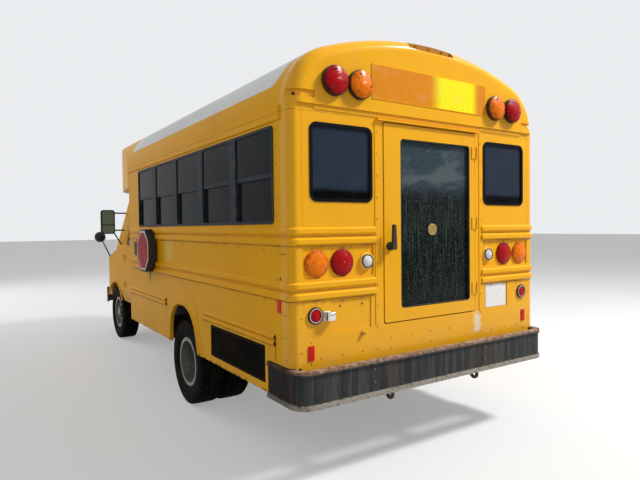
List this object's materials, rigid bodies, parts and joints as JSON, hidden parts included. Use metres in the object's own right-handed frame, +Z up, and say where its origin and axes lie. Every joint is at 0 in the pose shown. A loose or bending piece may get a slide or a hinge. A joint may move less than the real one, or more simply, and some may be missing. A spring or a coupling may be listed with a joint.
{
  "type": "short school bus",
  "caption": "Short bus body on a cutaway van chassis: twin rear wheels, glazed rear door, side windows, entrance leaves, driver's door, stop arm, lamps and black bumpers.",
  "frame": {"origin": "on the ground under the middle of the bounding box", "axes": "+Z up, +Y towards the rear of the bus, +X towards its left side"},
  "size_m": [2.583, 6.47, 2.9384],
  "materials": {
    "roof_white": "gloss white roof paint over yellow edges",
    "bus_yellow": "gloss school-bus yellow, dusty",
    "black_trim": "satin black",
    "tinted_glass": "smooth, dark tint",
    "black_steel": "black paint with rust",
    "chassis_steel": "black chassis paint with road dirt",
    "axle_iron": "rough, dirty",
    "tyre_rubber": "dusty black",
    "rim_paint": "silver-grey paint, dusty",
    "red_lens": "red lens",
    "amber_lens": "amber lens",
    "clear_lens": "clear lens",
    "stop_red": "red sign paint, white edge",
    "seat_vinyl": "dark blue-grey vinyl",
    "dash_plastic": "dark grey",
    "floor_cover": "black ribbed rubber",
    "exhaust_steel": "dull, rusty"
  },
  "bodies": {
    "root": {"roof": "roof_white", "rear_cap": "bus_yellow", "front_cap": "bus_yellow", "left_wall": "bus_yellow", "right_wall": "bus_yellow", "rear_wall": "bus_yellow", "window_frames": "black_trim", "window_glass": "tinted_glass", "cab_shell": "bus_yellow", "grilles": "black_trim", "floor": "floor_cover", "frame_rails": "chassis_steel", "crossmembers": "chassis_steel", "leaf_springs": "chassis_steel", "front_axle": "axle_iron", "rear_axle": "axle_iron", "engine": "axle_iron", "fuel_tank": "chassis_steel", "exhaust": "exhaust_steel", "rear_bumper": "black_steel", "front_bumper": "black_steel", "red_lamps": "red_lens", "amber_lamps": "amber_lens", "clear_lamps": "clear_lens", "lamp_housings": "black_trim", "mirrors": "black_trim", "seats": "seat_vinyl", "seat_frames": "chassis_steel", "dashboard": "dash_plastic"},
    "left_knuckle": {"left_knuckle": "axle_iron"},
    "right_knuckle": {"right_knuckle": "axle_iron"},
    "front_left_wheel": {"front_left_tyre": "tyre_rubber", "front_left_rim": "rim_paint"},
    "front_right_wheel": {"front_right_tyre": "tyre_rubber", "front_right_rim": "rim_paint"},
    "rear_left_wheels": {"rear_left_tyres": "tyre_rubber", "rear_left_rims": "rim_paint"},
    "rear_right_wheels": {"rear_right_tyres": "tyre_rubber", "rear_right_rims": "rim_paint"},
    "driver_door": {"driver_door": "bus_yellow", "driver_door_glass": "tinted_glass"},
    "entrance_front_leaf": {"entrance_front_leaf": "black_trim", "entrance_front_glass": "tinted_glass"},
    "entrance_rear_leaf": {"entrance_rear_leaf": "black_trim", "entrance_rear_glass": "tinted_glass"},
    "rear_door": {"rear_door": "bus_yellow", "rear_door_glass": "tinted_glass", "rear_handle": "black_trim"},
    "hood": {"hood": "bus_yellow"},
    "stop_arm": {"stop_arm": "stop_red"}
  },
  "joints": [
    {"name": "left_steering", "type": "hinge", "parent": "root", "child": "left_knuckle", "pos_m": [0.8, -2.385, 0.388], "axis": [0, 0, 1], "range_deg": [-35, 35]},
    {"name": "right_steering", "type": "hinge", "parent": "root", "child": "right_knuckle", "pos_m": [-0.8, -2.385, 0.388], "axis": [0, 0, 1], "range_deg": [-35, 35]},
    {"name": "front_left_spin", "type": "hinge", "parent": "left_knuckle", "child": "front_left_wheel", "pos_m": [0.868, -2.385, 0.388], "axis": [1, 0, 0], "continuous": true},
    {"name": "front_right_spin", "type": "hinge", "parent": "right_knuckle", "child": "front_right_wheel", "pos_m": [-0.868, -2.385, 0.388], "axis": [1, 0, 0], "continuous": true},
    {"name": "rear_left_spin", "type": "hinge", "parent": "root", "child": "rear_left_wheels", "pos_m": [0.916, 1.12, 0.388], "axis": [1, 0, 0], "continuous": true},
    {"name": "rear_right_spin", "type": "hinge", "parent": "root", "child": "rear_right_wheels", "pos_m": [-0.916, 1.12, 0.388], "axis": [1, 0, 0], "continuous": true},
    {"name": "driver_door_hinge", "type": "hinge", "parent": "root", "child": "driver_door", "pos_m": [1.0143, -1.809, 1], "axis": [0, 0, -1], "range_deg": [0, 65]},
    {"name": "entrance_front_hinge", "type": "hinge", "parent": "root", "child": "entrance_front_leaf", "pos_m": [-1.2043, -1.593, 1.2], "axis": [0, 0, 1], "range_deg": [0, 90]},
    {"name": "entrance_rear_hinge", "type": "hinge", "parent": "root", "child": "entrance_rear_leaf", "pos_m": [-1.2043, -0.787, 1.2], "axis": [0, 0, -1], "range_deg": [0, 90]},
    {"name": "rear_door_hinge", "type": "hinge", "parent": "root", "child": "rear_door", "pos_m": [-0.472, 3.1393, 1.6], "axis": [0, 0, 1], "range_deg": [0, 110]},
    {"name": "hood_hinge", "type": "hinge", "parent": "root", "child": "hood", "pos_m": [0, -2.2863, 1.327], "axis": [-1, 0, 0], "range_deg": [0, 50]},
    {"name": "stop_arm_hinge", "type": "hinge", "parent": "root", "child": "stop_arm", "pos_m": [1.243, -0.047, 1.4], "axis": [0, 0, -1], "range_deg": [0, 90]}
  ],
  "couplings": [
    {"joint": "right_steering", "follows": "left_steering", "ratio": 1},
    {"joint": "entrance_rear_hinge", "follows": "entrance_front_hinge", "ratio": 1}
  ]
}
